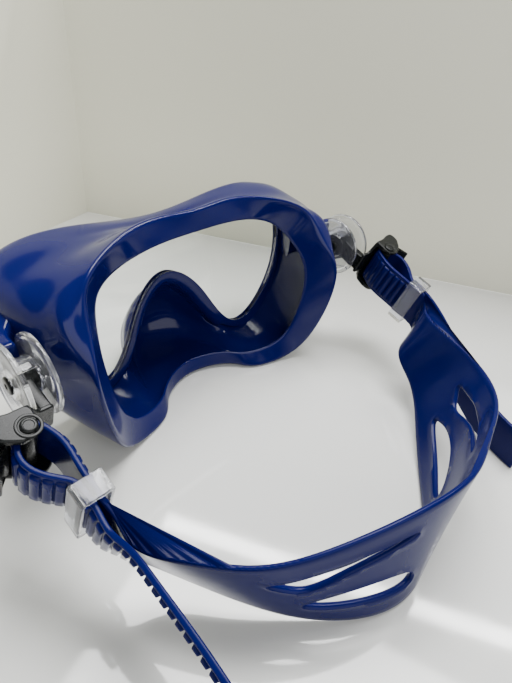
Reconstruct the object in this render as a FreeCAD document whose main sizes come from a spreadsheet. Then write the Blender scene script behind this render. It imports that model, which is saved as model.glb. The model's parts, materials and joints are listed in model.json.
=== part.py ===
import FreeCAD, Part
import math
import os

from FreeCAD import Placement, Rotation, Vector

# A single-lens diving mask with its head strap.
# Millimetres. +X is the wearer's left, -Y is the way the wearer looks, +Z is up.
# The origin is the middle of the footprint, on the surface that the mask stands on.
# The left buckle and its pod are drawn here, and the right ones are their mirror images.

os.makedirs("parts", exist_ok=True)
doc = FreeCAD.newDocument("diving_mask")

SIZES = [
    ("footprint_shift", 75.44),  # from the drawing's Y zero to the middle of the footprint
    ("lens_thick", 4.0),
    ("lens_lean", 12.94),  # degrees that the top of the lens leans forward
    ("lens_foot", 15.48),  # Y where the plane of the lens meets the floor
    ("frame_width", 2.3),  # radial width of the stiffening ring round the lens
    ("seat_cover", 1.5),  # how far the skirt covers the back of the lens
    ("lip_thick", 1.6),
    ("skirt_thick", 2.2),
    ("fit_gap", 0.05),
    ("pod_y", 42.6),
    ("pod_z", 58.4),
    ("pod_radius", 15.5),
    ("plate_thick", 2.0),
    ("inner_plate_x", 84.6),
    ("plate_gap", 7.4),
    ("stop_inner", 6.0),
    ("stop_outer", 7.8),
    ("lug_post_radius", 2.4),
    ("lug_post_y", 32.6),
    ("swivel_radius", 2.0),
    ("swivel_head", 3.4),
    ("hub_length", 6.2),
    ("arm_thick", 4.2),
    ("arm_middle_x", 91.6),
    ("arm_height", 9.0),
    ("eye_radius", 5.4),
    ("arm_drop", 20.0),  # degrees that the arm hangs below level
    ("axle_x", 101.3),
    ("axle_reach", 23.0),  # from the pod's axis to the roller's axle
    ("axle_radius", 1.25),
    ("axle_head", 2.7),
    ("axle_head_thick", 0.8),
    ("roller_radius", 2.6),
    ("roller_length", 20.2),
    ("ear_gap", 21.0),
    ("ear_thick", 2.4),
    ("web_front", 15.9),  # from the pod's axis to the buckle's front wall
    ("web_thick", 1.5),
    ("web_start_x", 97.8),
    ("web_end_x", 108.0),
    ("lever_pin_x", 110.4),
    ("lever_pin_back", 18.4),
    ("lever_pin_radius", 1.0),
    ("lever_height", 20.0),
    ("spring_wire", 0.5),
    ("spring_radius", 1.75),
    ("spring_height", 5.0),
    ("band_thick", 2.0),
    ("band_height", 19.5),
    ("keeper_wall", 1.5),
    ("keeper_length", 8.0),
    ("keeper_x", 96.5),
    ("keeper_y", 89.5),
    ("keeper_z", 41.6),
    ("keeper_gap_x", 8.6),
    ("keeper_gap_z", 21.6),
    ("keeper_lean", 18.0),
]
sheet = doc.addObject("Spreadsheet::Sheet", "Sizes")
for row, (alias, value) in enumerate(SIZES, 1):
    sheet.set("A%d" % row, alias)
    sheet.set("B%d" % row, str(value))
    sheet.setAlias("B%d" % row, alias)
doc.recompute()


def size(alias):
    """A driving dimension, read back from the sheet."""
    return float(sheet.get(alias))


SHIFT = Vector(0, -size("footprint_shift"), 0)
ALONG_X = Rotation(Vector(0, 1, 0), 90)
AXIS_X = Vector(1, 0, 0)
POD_AXIS = Vector(0, size("pod_y"), size("pod_z"))
sub_parts = []


def name_part(thing, label):
    """Makes thing a sub-part of the mask: its Label is the name of its file."""
    thing.Label = label
    sub_parts.append(thing)
    return thing


def sized(kind, name, sizes, base, turn=Rotation()):
    """A Part primitive with its sizes and its place bound to formulas over the sheet."""
    thing = doc.addObject("Part::" + kind, name)
    thing.Placement = Placement(Vector(), turn)
    for prop, formula in sizes.items():
        thing.setExpression(prop, formula)
    for axis, formula in zip("xyz", base):
        thing.setExpression("Placement.Base." + axis, formula)
    return thing


def boolean(kind, name, first, second):
    """A Part::Cut, Part::Fuse or Part::Common of two objects."""
    thing = doc.addObject("Part::" + kind, name)
    thing.Base = first
    thing.Tool = second
    return thing


def fuse_all(name, things):
    """One solid from several overlapping ones."""
    thing = doc.addObject("Part::MultiFuse", name)
    thing.Shapes = things
    thing.Refine = True
    return thing


def feature(name, shape):
    """A Part::Feature that holds a shape made with Part's own functions."""
    thing = doc.addObject("Part::Feature", name)
    thing.Shape = shape
    thing.Placement = Placement(SHIFT, Rotation())
    return thing


# ---------------------------------------------------------------- the face of the mask
# Every closed line that runs round the mask passes the same stations, from the middle of
# the brow (0) past the temple (5) and the cheek (7) to the middle of the nose (11).

LAST_STATION = 11
RING_POINTS = 66


def loop_points(stations, points):
    """Points evenly spread round a closed line that is symmetric about X = 0."""
    right = [
        (2 * LAST_STATION - station, Vector(-p.x, p.y, p.z))
        for station, p in zip(stations, points)
        if 0 < station < LAST_STATION
    ]
    whole = list(zip(stations, points)) + right[::-1]
    curve = Part.BSplineCurve()
    curve.interpolate(
        Points=[p for _, p in whole],
        Parameters=[float(station) for station, _ in whole] + [2.0 * LAST_STATION],
        PeriodicFlag=True,
    )
    step = 2.0 * LAST_STATION / RING_POINTS
    return [curve.value(i * step) for i in range(RING_POINTS)]


LEAN = math.radians(size("lens_lean"))
LENS_BACK = Vector(0, math.cos(LEAN), math.sin(LEAN))
LENS_UP = Vector(0, -math.sin(LEAN), math.cos(LEAN))
LENS_FOOT = Vector(0, size("lens_foot"), 0)

# The edge of the glass in its own plane: across, and up from the floor.
GLASS_EDGE = [
    (0, 79.0),
    (20, 80.3),
    (41, 82.8),
    (62, 82.8),
    (78, 76.5),
    (84.5, 61.0),
    (78.5, 35.5),
    (58, 14.6),
    (39.5, 12.2),
    (27, 25.5),
    (16.5, 42.5),
    (0, 53.4),
]


def on_lens(across, up, back):
    """A point in the lens's own axes; back is measured from the glass's rear face."""
    return LENS_FOOT + Vector(across, 0, 0) + LENS_UP * up + LENS_BACK * back


GLASS_LOOP = loop_points(
    range(LAST_STATION + 1), [on_lens(x, up, 0) for x, up in GLASS_EDGE]
)


def station_of(index):
    """How far round from the brow a ring point lies, on either side: 0 to 11."""
    station = index * 2.0 * LAST_STATION / RING_POINTS
    return min(station, 2 * LAST_STATION - station)


def lens_ring(offset, back):
    """The glass's edge moved outwards in its plane by offset(station), and back."""
    ring = []
    for i, point in enumerate(GLASS_LOOP):
        ahead = GLASS_LOOP[(i + 1) % RING_POINTS]
        behind = GLASS_LOOP[i - 1]
        outwards = (ahead - behind).cross(LENS_BACK).normalize()
        ring.append(point + outwards * offset(station_of(i)) + LENS_BACK * back)
    return ring


def all_round(value):
    """An offset that is the same all the way round."""
    return lambda station: value


def ring_edge(points):
    """One closed smooth edge through the points of a ring."""
    curve = Part.BSplineCurve()
    curve.interpolate(Points=points, PeriodicFlag=True)
    return curve.toShape()


def solid_of_rings(rings):
    """A hollow ring-shaped solid whose skin passes the closed rings, in a cycle."""
    edges = [ring_edge(ring) for ring in rings]
    faces = [Part.makeRuledSurface(edges[i - 1], edges[i]) for i in range(len(edges))]
    shell = Part.makeShell(faces)
    shell.sewShape()
    solid = Part.makeSolid(shell)
    if solid.Volume < 0:
        solid.reverse()
    return solid


# The outside of the skirt from just behind the glass to the rim, at nine stations.
SKIRT_STATIONS = [0, 2, 3, 5, 6, 7, 8, 10, 11]
RIM_STATIONS = [0, 2, 3, 4, 5, 6, 7, 8, 10, 11]
SKIRT_OUTSIDE = [
    [(0, -1, 81.2), (41, -1.5, 84.2), (68.5, -3, 83.6), (87.8, 4, 60), (82, 9, 32.5),
     (59, 15, 9.8), (39, 13, 6.5), (17, -5.5, 33), (0, -7, 44)],
    [(0, 3.5, 81.0), (41, 3.5, 84.2), (69.3, 4, 83.2), (86.5, 13, 59.6), (81, 18, 31.5),
     (59, 21, 9.2), (39, 17, 5.6), (17.5, -11, 25.5), (0, -16, 33)],
    [(0, 8, 82.0), (40.5, 8.5, 84.6), (69, 12, 82.3), (84.5, 23, 59), (79, 27, 30.5),
     (58.5, 28, 8.4), (38.5, 22, 4.6), (18.3, -14, 16.5), (0, -21.5, 20)],
    [(0, 13, 84.8), (40, 14, 85.6), (67.5, 20, 82.3), (81.5, 33, 58), (76, 36, 29.5),
     (57.8, 35, 7.2), (38, 28, 3.4), (18.6, -9.5, 7.5), (0, -19.5, 8)],
    [(0, 18, 88.5), (39, 19.5, 88.4), (65, 28, 83), (77.5, 43, 56.5), (72.5, 45, 28.5),
     (56.8, 41.5, 5.8), (37, 34.5, 1.8), (18.6, 0, 1.8), (0, -10, 1.2)],
    [(0, 22, 91.8), (38, 24, 91), (62.8, 34, 84), (73.8, 51.5, 55), (69, 52, 27),
     (55.8, 46.5, 5.0), (36, 40, 0.7), (18.5, 14, 1.0), (0, 8, 0.6)],
]
RIM = [(0, 24.9, 93.4), (37.4, 27.5, 92.6), (60.9, 38.5, 84.3), (66.8, 48.1, 69.4),
       (71.4, 58.1, 54.0), (66.6, 57.2, 26.0), (55, 50.4, 4.4), (35.3, 44.3, 0.3),
       (18.4, 30.6, 1.4), (0, 24.5, 0.8)]
FACE_LIP = [(0, 27, 83.8), (34, 28, 81.5), (50.8, 29.5, 74.2), (58.4, 37, 64), (61, 44, 51),
            (57.8, 46, 31), (48.5, 44, 13.5), (33, 38.5, 8.5), (16, 27, 8.6), (0, 22, 8.2)]


def skirt_ring(points, stations=SKIRT_STATIONS):
    return loop_points(stations, [Vector(*p) for p in points])


def inside_of(ring, before, after, thick):
    """The ring moved by thick from the outside of the skirt towards its inside."""
    moved = []
    for i, point in enumerate(ring):
        round_the_face = ring[(i + 1) % RING_POINTS] - ring[i - 1]
        towards_rim = after[i] - before[i]
        moved.append(point - round_the_face.cross(towards_rim).normalize() * thick)
    return moved


def seat_base(station):
    """Where the inside wall meets the glass's seat: further out under the nose notch."""
    blend = min(1.0, max(0.0, (station - 7.0) / 2.5))
    return 1.3 + 5.2 * blend


def skirt_shape():
    """The silicone skirt: grooved round the lens, with a nose pocket and a face lip."""
    thick = size("skirt_thick")
    lens_thick = size("lens_thick")
    lip = size("lip_thick")
    gap = size("fit_gap")
    groove = all_round(size("frame_width") + 2 * gap)
    cover = all_round(-size("seat_cover"))
    outer = [lens_ring(all_round(size("frame_width") + 2.1), -lens_thick - 1.0)]
    outer += [skirt_ring(points) for points in SKIRT_OUTSIDE]
    outer.append(skirt_ring(RIM, RIM_STATIONS))
    face_lip = skirt_ring(FACE_LIP, RIM_STATIONS)
    track = outer + [face_lip]
    inner = [
        inside_of(track[k], track[k - 1], track[k + 1], thick)
        for k in range(1, len(outer) - 1)
    ]
    rim_inside = [
        r + ((a - r) + (b - r)).normalize() * 1.6 * thick
        for r, a, b in zip(outer[-1], face_lip, inner[-1])
    ]
    beyond = [2 * lip_point - rim_point for lip_point, rim_point in zip(face_lip, outer[-1])]
    lip_inside = inside_of(face_lip, outer[-1], beyond, 1.2)
    rings = [lens_ring(cover, -lens_thick - lip)]
    rings += outer
    rings += [face_lip, lip_inside, rim_inside]
    rings += inner[::-1]
    rings += [
        lens_ring(seat_base, lip),
        lens_ring(cover, lip),
        lens_ring(cover, gap),
        lens_ring(groove, gap),
        lens_ring(groove, -lens_thick - gap),
        lens_ring(cover, -lens_thick - gap),
    ]
    return solid_of_rings(rings)


def lug_shape(side):
    """The strap lug moulded on the side of the skirt, with its hole for the pod's post."""
    gap_middle = size("inner_plate_x") + size("plate_thick") + size("plate_gap") / 2
    half = size("plate_gap") / 2 - 0.4
    low, high = size("pod_z") - 9.5, size("pod_z") + 9.5
    outline = [
        (80.0, 10.0),
        (87.0, 12.0),
        (gap_middle + half, 24.0),
        (gap_middle + half, 35.2),
        (gap_middle - half, 35.2),
        (gap_middle - half, 27.0),
        (80.0, 24.0),
    ]
    corners = [Vector(side * x, y, low) for x, y in outline]
    lug = Part.Face(Part.makePolygon(corners + corners[:1])).extrude(Vector(0, 0, high - low))
    hole = Part.makeCylinder(
        size("lug_post_radius") + size("fit_gap"),
        60,
        Vector(side * 70, size("lug_post_y"), size("pod_z")),
        Vector(side, 0, 0),
    )
    clear_of_stop = Part.makeCylinder(
        size("stop_outer") + 0.3, 60, Vector(side * 70, POD_AXIS.y, POD_AXIS.z), Vector(side, 0, 0)
    )
    return lug.cut(hole).cut(clear_of_stop)


skirt_wall = skirt_shape()
skirt_solid = skirt_wall
for side in (1, -1):
    skirt_solid = skirt_solid.fuse(lug_shape(side))
name_part(feature("Skirt", skirt_solid), "skirt")


def plate_of(outer_ring, inner_ring, thick):
    """A flat plate in the plane of the lens, with an opening if inner_ring is given."""
    plate = Part.Face(Part.Wire(ring_edge(outer_ring))).extrude(LENS_BACK * thick)
    if inner_ring:
        opening = Part.Face(Part.Wire(ring_edge(inner_ring))).extrude(LENS_BACK * thick)
        plate = plate.cut(opening)
    return plate


thickness = size("lens_thick")
glass_ring = lens_ring(all_round(0.0), -thickness)
name_part(feature("Lens", plate_of(glass_ring, None, thickness)), "lens")
frame_outer = lens_ring(all_round(size("frame_width")), -thickness)
frame_inner = lens_ring(all_round(size("fit_gap")), -thickness)
name_part(
    feature("LensFrame", plate_of(frame_outer, frame_inner, thickness)), "lens_frame"
)

# ---------------------------------------------------------------- the left pod
# Two clear plates hold the lug's end on a post, and the buckle's arm on a swivel pin.

POD_Y = "Sizes.pod_y - Sizes.footprint_shift"
POD_Z = "Sizes.pod_z"
INNER_FACE = "Sizes.inner_plate_x + Sizes.plate_thick"
OUTER_FACE = "Sizes.inner_plate_x + Sizes.plate_thick + Sizes.plate_gap"


def across(name, radius, length, start, y=POD_Y, z=POD_Z):
    """A cylinder along X."""
    sizes = {"Radius": radius, "Height": length}
    return sized("Cylinder", name, sizes, (start, y, z), ALONG_X)


inner_disc = across("InnerDisc", "Sizes.pod_radius", "Sizes.plate_thick", "Sizes.inner_plate_x")
stop_ring = across("StopRing", "Sizes.stop_outer", "Sizes.plate_gap", INNER_FACE)
stop_bore = across("StopBore", "Sizes.stop_inner", "Sizes.plate_gap + 2", INNER_FACE)
stop_tube = boolean("Cut", "StopTube", stop_ring, stop_bore)
stop_open = sized(
    "Box",
    "StopOpening",
    {"Length": "Sizes.plate_gap + 2", "Width": "20", "Height": "30"},
    (INNER_FACE, POD_Y + " + 0.6", POD_Z + " - 24"),
)
stop_wall = boolean("Cut", "StopWall", stop_tube, stop_open)
post = across(
    "LugPost",
    "Sizes.lug_post_radius",
    "Sizes.plate_gap + 1.2",
    INNER_FACE,
    "Sizes.lug_post_y - Sizes.footprint_shift",
)
inner_blank = fuse_all("InnerPlateBlank", [inner_disc, stop_wall, post])
inner_hole = across(
    "InnerPlateHole", "Sizes.swivel_radius + 0.02", "20", "Sizes.inner_plate_x - 5"
)
name_part(
    boolean("Cut", "LeftPodInnerPlate", inner_blank, inner_hole), "left_pod_inner_plate"
)

outer_disc = across("OuterDisc", "Sizes.pod_radius", "Sizes.plate_thick", OUTER_FACE)
outer_bore = across("OuterPlateBore", "Sizes.swivel_radius + 0.02", "20", OUTER_FACE + " - 5")
post_bore = across(
    "PostBore",
    "Sizes.lug_post_radius + 0.02",
    "1.25",
    OUTER_FACE + " - 0.02",
    "Sizes.lug_post_y - Sizes.footprint_shift",
)
outer_drilled = boolean("Cut", "OuterPlateDrilled", outer_disc, outer_bore)
name_part(
    boolean("Cut", "LeftPodOuterPlate", outer_drilled, post_bore), "left_pod_outer_plate"
)

pin_shank = across(
    "SwivelShank",
    "Sizes.swivel_radius",
    "2 * Sizes.plate_thick + Sizes.plate_gap + 1.1",
    "Sizes.inner_plate_x - 1",
)
pin_head = across(
    "SwivelHead", "Sizes.swivel_head", "1", OUTER_FACE + " + Sizes.plate_thick + 0.02"
)
pin_foot = across("SwivelFoot", "Sizes.swivel_head", "1", "Sizes.inner_plate_x - 1.02")
name_part(fuse_all("LeftSwivelPin", [pin_shank, pin_head, pin_foot]), "left_swivel_pin")

# ---------------------------------------------------------------- the left buckle
# Drawn level, with the swivel pin's axis at Y = Z = 0, then hung at the arm's angle.

DROP = Rotation(AXIS_X, -size("arm_drop"))
MIDDLE_X = INNER_FACE + " + Sizes.plate_gap / 2"


def hang(thing, label):
    """Turns a buckle piece from its level drawing to where it hangs on the pod."""
    doc.recompute()
    hung = doc.addObject("Part::Feature", label.title().replace("_", ""))
    hung.Shape = thing.Shape
    hung.Placement = Placement(POD_AXIS + SHIFT, DROP).multiply(thing.Shape.Placement)
    return name_part(hung, label)


def body_pad(name, plane, offset, edges, length):
    """A PartDesign body: one closed sketch of straight lines, padded by length."""
    body = doc.addObject("PartDesign::Body", name)
    sketch = body.newObject("Sketcher::SketchObject", name + "Sketch")
    origin_plane = [f for f in body.Origin.OriginFeatures if f.Role == plane][0]
    sketch.AttachmentSupport = (origin_plane, "")
    sketch.MapMode = "FlatFace"
    sketch.AttachmentOffset = Placement(Vector(0, 0, offset), Rotation())
    for start, end in zip(edges, edges[1:] + edges[:1]):
        sketch.addGeometry(Part.LineSegment(Vector(*start, 0), Vector(*end, 0)), False)
    pad = body.newObject("PartDesign::Pad", name + "Pad")
    pad.Profile = sketch
    pad.setExpression("Length", length)
    doc.recompute()
    return body


eye = across(
    "ArmEye", "Sizes.eye_radius", "Sizes.hub_length", MIDDLE_X + " - Sizes.hub_length / 2", "0", "0"
)
ARM_START = "Sizes.arm_middle_x - Sizes.arm_thick / 2"
bar = sized(
    "Box",
    "ArmBar",
    {"Length": "Sizes.arm_thick", "Width": "Sizes.web_front + 1", "Height": "Sizes.arm_height"},
    (ARM_START, "0", "-Sizes.arm_height / 2"),
)
bridge = sized(
    "Box",
    "ArmBridge",
    {
        "Length": "Sizes.web_end_x - Sizes.arm_middle_x + Sizes.arm_thick / 2",
        "Width": "Sizes.web_thick",
        "Height": "Sizes.arm_height + 4",
    },
    (ARM_START, "Sizes.web_front", "-Sizes.arm_height / 2 - 2"),
)
web = sized(
    "Box",
    "BuckleWeb",
    {
        "Length": "Sizes.web_end_x - Sizes.web_start_x",
        "Width": "Sizes.web_thick",
        "Height": "Sizes.ear_gap + 2 * Sizes.ear_thick",
    },
    ("Sizes.web_start_x", "Sizes.web_front", "-Sizes.ear_gap / 2 - Sizes.ear_thick"),
)
# The outlines of the upper and the lower ear: across, and along the arm from the pod.
EAR_FRONT = [(98.9, 15.9), (104.5, 15.9), (108.5, 14.9), (112.6, 14.8), (113.6, 17.5), (113.0, 20.5)]
TOP_EAR = EAR_FRONT + [
    (109.5, 24.3), (105.0, 27.0), (101.3, 26.6), (98.9, 24.6), (97.8, 21.5), (97.7, 17.5),
]
LOW_EAR = EAR_FRONT + [
    (109.5, 24.3), (105.0, 27.6), (101.0, 29.2), (98.0, 29.2), (95.4, 27.6), (94.6, 24.0),
    (96.0, 18.5),
]
top_ear = body_pad("TopEar", "XY_Plane", size("ear_gap") / 2, TOP_EAR, "Sizes.ear_thick")
low_ear = body_pad(
    "LowEar", "XY_Plane", -size("ear_gap") / 2 - size("ear_thick"), LOW_EAR, "Sizes.ear_thick"
)
buckle_blank = fuse_all("BuckleBlank", [eye, bar, bridge, web, top_ear, low_ear])
EAR_SPAN = "Sizes.ear_gap + 2 * Sizes.ear_thick + 4"


def upright(name, radius, length, x, y, low):
    """A cylinder along Z."""
    return sized("Cylinder", name, {"Radius": radius, "Height": length}, (x, y, low))


axle_hole = upright(
    "AxleHole", "Sizes.axle_radius + 0.02", EAR_SPAN, "Sizes.axle_x", "Sizes.axle_reach",
    "-Sizes.ear_gap / 2 - Sizes.ear_thick - 2",
)
lever_hole = upright(
    "LeverPinHole", "Sizes.lever_pin_radius + 0.02", EAR_SPAN, "Sizes.lever_pin_x",
    "Sizes.lever_pin_back", "-Sizes.ear_gap / 2 - Sizes.ear_thick - 2",
)
eye_hole = across("EyeHole", "Sizes.swivel_radius + 0.05", "20", INNER_FACE + " - 2", "0", "0")
drilled = boolean("Cut", "BuckleDrilled1", buckle_blank, axle_hole)
drilled = boolean("Cut", "BuckleDrilled2", drilled, lever_hole)
drilled = boolean("Cut", "BuckleDrilled3", drilled, eye_hole)
hang(drilled, "left_buckle_body")

roller_blank = upright(
    "RollerBlank", "Sizes.roller_radius", "Sizes.roller_length", "Sizes.axle_x",
    "Sizes.axle_reach", "-Sizes.roller_length / 2",
)
roller_bore = upright(
    "RollerBore", "Sizes.axle_radius + 0.06", "Sizes.roller_length + 2", "Sizes.axle_x",
    "Sizes.axle_reach", "-Sizes.roller_length / 2 - 1",
)
hang(boolean("Cut", "RollerTube", roller_blank, roller_bore), "left_roller")

axle_shank = upright(
    "AxleShank", "Sizes.axle_radius", "Sizes.ear_gap + 2 * Sizes.ear_thick + 0.1",
    "Sizes.axle_x", "Sizes.axle_reach", "-Sizes.ear_gap / 2 - Sizes.ear_thick - 0.05",
)
axle_top = upright(
    "AxleTop", "Sizes.axle_head", "Sizes.axle_head_thick", "Sizes.axle_x",
    "Sizes.axle_reach", "Sizes.ear_gap / 2 + Sizes.ear_thick + 0.02",
)
axle_foot = upright(
    "AxleFoot", "Sizes.axle_head", "Sizes.axle_head_thick", "Sizes.axle_x",
    "Sizes.axle_reach", "-Sizes.ear_gap / 2 - Sizes.ear_thick - Sizes.axle_head_thick - 0.02",
)
hang(fuse_all("Axle", [axle_shank, axle_top, axle_foot]), "left_roller_axle")

lever_x = size("lever_pin_x")
lever_y = size("lever_pin_back")
LEVER = [
    (lever_x - 1.8, lever_y - 1.6),
    (lever_x + 1.8, lever_y - 1.6),
    (lever_x + 2.4, lever_y + 4.5),
    (lever_x + 4.6, lever_y + 11.0),
    (lever_x + 3.2, lever_y + 11.6),
    (lever_x + 0.4, lever_y + 6.4),
    (lever_x - 2.4, lever_y + 6.0),
    (lever_x - 1.8, lever_y + 4.6),
]
lever_blank = body_pad(
    "LeverBlank", "XY_Plane", -size("lever_height") / 2, LEVER, "Sizes.lever_height"
)
lever_bore = upright(
    "LeverBore", "Sizes.lever_pin_radius + 0.05", "Sizes.lever_height + 2",
    "Sizes.lever_pin_x", "Sizes.lever_pin_back", "-Sizes.lever_height / 2 - 1",
)
spring_pocket = sized(
    "Box",
    "SpringPocket",
    {"Length": "6.4", "Width": "5.4", "Height": "Sizes.spring_height + 1.4"},
    ("Sizes.lever_pin_x - 3.2", "Sizes.lever_pin_back - 3.2", "-Sizes.spring_height / 2 - 0.7"),
)
lever_bored = boolean("Cut", "LeverBored", lever_blank, lever_bore)
hang(boolean("Cut", "LeverCut", lever_bored, spring_pocket), "left_release_lever")

lever_pin = upright(
    "LeverPin", "Sizes.lever_pin_radius", "Sizes.ear_gap + 2 * Sizes.ear_thick - 0.4",
    "Sizes.lever_pin_x", "Sizes.lever_pin_back", "-Sizes.ear_gap / 2 - Sizes.ear_thick + 0.2",
)
hang(lever_pin, "left_lever_pin")


def spring_shape():
    """A small torsion spring's coil round the lever's pin."""
    height = size("spring_height") - size("spring_wire")
    helix = Part.makeHelix(height / 6.0, height, size("spring_radius"))
    start = Vector(size("spring_radius"), 0, 0)
    section = Part.Wire(Part.makeCircle(size("spring_wire") / 2, start, Vector(0, 1, 0)))
    coil = Part.Wire(helix).makePipeShell([section], True, True)
    coil.translate(Vector(lever_x, lever_y, -height / 2))
    return coil


spring = doc.addObject("Part::Feature", "SpringCoil")
spring.Shape = spring_shape()
hang(spring, "left_lever_spring")

# ---------------------------------------------------------------- the strap
# A station of the strap is the middle of its band, how high it is and how its height leans.

HALF_BAND = size("band_height") / 2
WRAP_RADIUS = size("roller_radius") + 0.35 + size("band_thick") / 2

# The free ends of the strap, from the tip forward to the keeper: X, Y and Z of the middle,
# and the degrees that its height leans back and outwards.
TAIL = [
    (100.8, 165.5, 39.0, 8.9, 15.6),
    (99.1, 151.7, 39.7, 14.5, 16.3),
    (97.6, 136.8, 40.0, 20.2, 17.0),
    (96.5, 122.0, 40.3, 25.4, 17.4),
    (96.8, 107.7, 39.6, 27.0, 12.0),
    (98.2, 101, 38.8, 24.0, 5.0),
    (98.0, 94, 40.2, 19.0, 0.0),
    (98.1, 87, 42.4, 18.0, 0.0),
]
RIGHT_TAIL = [
    (68.5, 172, 9.9, 0.0, 0.0),
    (72.5, 162, 10.0, 2.2, 0.0),
    (77.0, 151, 11.5, 4.5, 0.0),
    (83.5, 138, 16.0, 6.7, 0.0),
    (89.5, 125, 22.5, 9.0, 0.0),
    (94.0, 113, 29.5, 11.2, 0.0),
    (97.0, 102, 36.0, 13.5, 0.0),
    (98.0, 94, 40.0, 15.7, 0.0),
    (98.1, 87, 42.4, 18.0, 0.0),
]
# The two layers of the loop, level: across, and along the arm from the pod.
OUTER_LAYER = [
    (98.5, 44.6), (101.3, 41.0), (105.0, 36.8), (107.2, 32.2), (107.3, 28.2), (106.0, 24.6),
]
INNER_LAYER = [(96.0, 25.2), (94.7, 29.5), (94.4, 34.5), (94.8, 40.0)]
KEEPER_START = (95.0, 87, 42.4)
KEEPER_EXIT = [(95.0, 93, 40.6), (94.2, 98, 37.6)]

# The head band between the keepers: the lower and the upper edge at eleven stations.
BAND = [
    ((86.0, 106.6, 17.4), (93.7, 106.0, 38.9)),
    ((72.7, 125.8, 8.7), (85.0, 121.7, 36.9)),
    ((58.5, 145.2, 2.5), (70.6, 139.6, 38.7)),
    ((42.5, 160.7, 0.6), (49.4, 153.8, 44.6)),
    ((24.8, 168.7, 0.3), (25.3, 163.6, 48.3)),
    ((5.7, 166.6, 0.3), (0.2, 168.4, 48.6)),
    ((-14.0, 156.1, 0.4), (-23.7, 164.6, 46.6)),
    ((-34.2, 142.5, 1.0), (-46.9, 158.5, 44.6)),
    ((-53.7, 128.3, 6.0), (-65.1, 145.9, 43.0)),
    ((-70.0, 112.4, 14.6), (-76.6, 125.9, 43.4)),
    ((-81.4, 99.0, 23.4), (-86.5, 105.3, 45.0)),
]
WRAP_STEPS = 7
WRAP_FROM, WRAP_TO = -18.0, -162.0  # degrees round the roller, from straight outwards


def leaning(points, start_lean, end_lean):
    """Stations of a band from its middle points, leaning back by degrees that change."""
    stations = []
    for i, point in enumerate(points):
        share = i / max(1, len(points) - 1)
        lean = math.radians(start_lean + (end_lean - start_lean) * share)
        reach = Vector(0, math.sin(lean), math.cos(lean)) * HALF_BAND
        stations.append((Vector(*point) - reach, Vector(*point) + reach))
    return stations


def tilted(points):
    """Stations of a band whose height leans back and outwards by its own degrees."""
    stations = []
    for x, y, z, back, outwards in points:
        lean = Vector(math.tan(math.radians(outwards)), math.tan(math.radians(back)), 1)
        reach = lean.normalize() * HALF_BAND
        stations.append((Vector(x, y, z) - reach, Vector(x, y, z) + reach))
    return stations


def on_buckle(points):
    """Stations of the loop from level points, leaning back as the buckle does."""
    hung = [POD_AXIS + DROP.multVec(Vector(x, along, 0)) for x, along in points]
    return leaning([tuple(p) for p in hung], size("arm_drop"), size("arm_drop"))


def wrap_stations():
    """The half turn round the roller, from the outer layer to the inner layer."""
    level = []
    for i in range(WRAP_STEPS):
        angle = math.radians(WRAP_FROM + (WRAP_TO - WRAP_FROM) * i / (WRAP_STEPS - 1))
        across_axle = size("axle_x") + WRAP_RADIUS * math.cos(angle)
        level.append((across_axle, size("axle_reach") + WRAP_RADIUS * math.sin(angle)))
    return on_buckle(level)


def strap_end(tail):
    """One end of the strap on the left side, from its free tip to the head band."""
    stations = tilted(tail) + on_buckle(OUTER_LAYER) + wrap_stations() + on_buckle(INNER_LAYER)
    stations += leaning([KEEPER_START], size("keeper_lean"), size("keeper_lean"))
    return stations + leaning(KEEPER_EXIT, size("keeper_lean"), 8)


def mirrored(stations):
    """The same stations on the other side of the mask, in the opposite order."""
    return [
        (Vector(-low.x, low.y, low.z), Vector(-up.x, up.y, up.z)) for low, up in stations[::-1]
    ]


STRAP = strap_end(TAIL)
STRAP += [(Vector(*low), Vector(*up)) for low, up in BAND]
STRAP += mirrored(strap_end(RIGHT_TAIL))


def edge_curve(points, lengths):
    curve = Part.BSplineCurve()
    curve.interpolate(Points=points, Parameters=lengths)
    return curve


middles = [(low + up) * 0.5 for low, up in STRAP]
LENGTHS = [0.0]
for here, there in zip(middles, middles[1:]):
    LENGTHS.append(LENGTHS[-1] + (there - here).Length)
LOW_EDGE = edge_curve([low for low, _ in STRAP], LENGTHS)
UP_EDGE = edge_curve([up for _, up in STRAP], LENGTHS)
FIRST_BAND = len(strap_end(TAIL)) - 1


def strap_at(length):
    """The lower and upper edge of the strap at a length, and its thickness direction."""
    low, up = LOW_EDGE.value(length), UP_EDGE.value(length)
    run = LOW_EDGE.tangent(length)[0] + UP_EDGE.tangent(length)[0]
    return low, up, run.cross(up - low).normalize()


def sample_lengths():
    """Lengths along the strap that pass every station."""
    lengths = []
    for start, end in zip(LENGTHS, LENGTHS[1:]):
        pieces = max(1, round((end - start) / 4.5))
        lengths += [start + (end - start) * i / pieces for i in range(pieces)]
    return lengths + [LENGTHS[-1]]


def strap_shape():
    """The silicone strap in one piece, with two long slots in each side of its pad."""
    half = size("band_thick") / 2
    sections = []
    for length in sample_lengths():
        low, up, out = strap_at(length)
        corners = [low - out * half, low + out * half, up + out * half, up - out * half]
        sections.append(Part.makePolygon(corners + corners[:1]))
    strap = Part.makeLoft(sections, True, True)
    for outline in SLOTS:
        for mirror in (False, True):
            strap = strap.cut(slot_cutter(outline, mirror))
    return strap


# A slot's outline on the band: how many stations along it, and the share of its height.
SLOTS = [
    [(3.0, 0.67), (3.35, 0.55), (3.8, 0.65), (4.5, 0.75), (4.95, 0.79), (4.0, 0.78), (3.5, 0.75)],
    [(3.36, 0.28), (4.2, 0.25), (4.95, 0.24), (4.9, 0.38), (4.5, 0.44), (3.9, 0.43), (3.4, 0.34)],
]
BAND_STATIONS = 12


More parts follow.
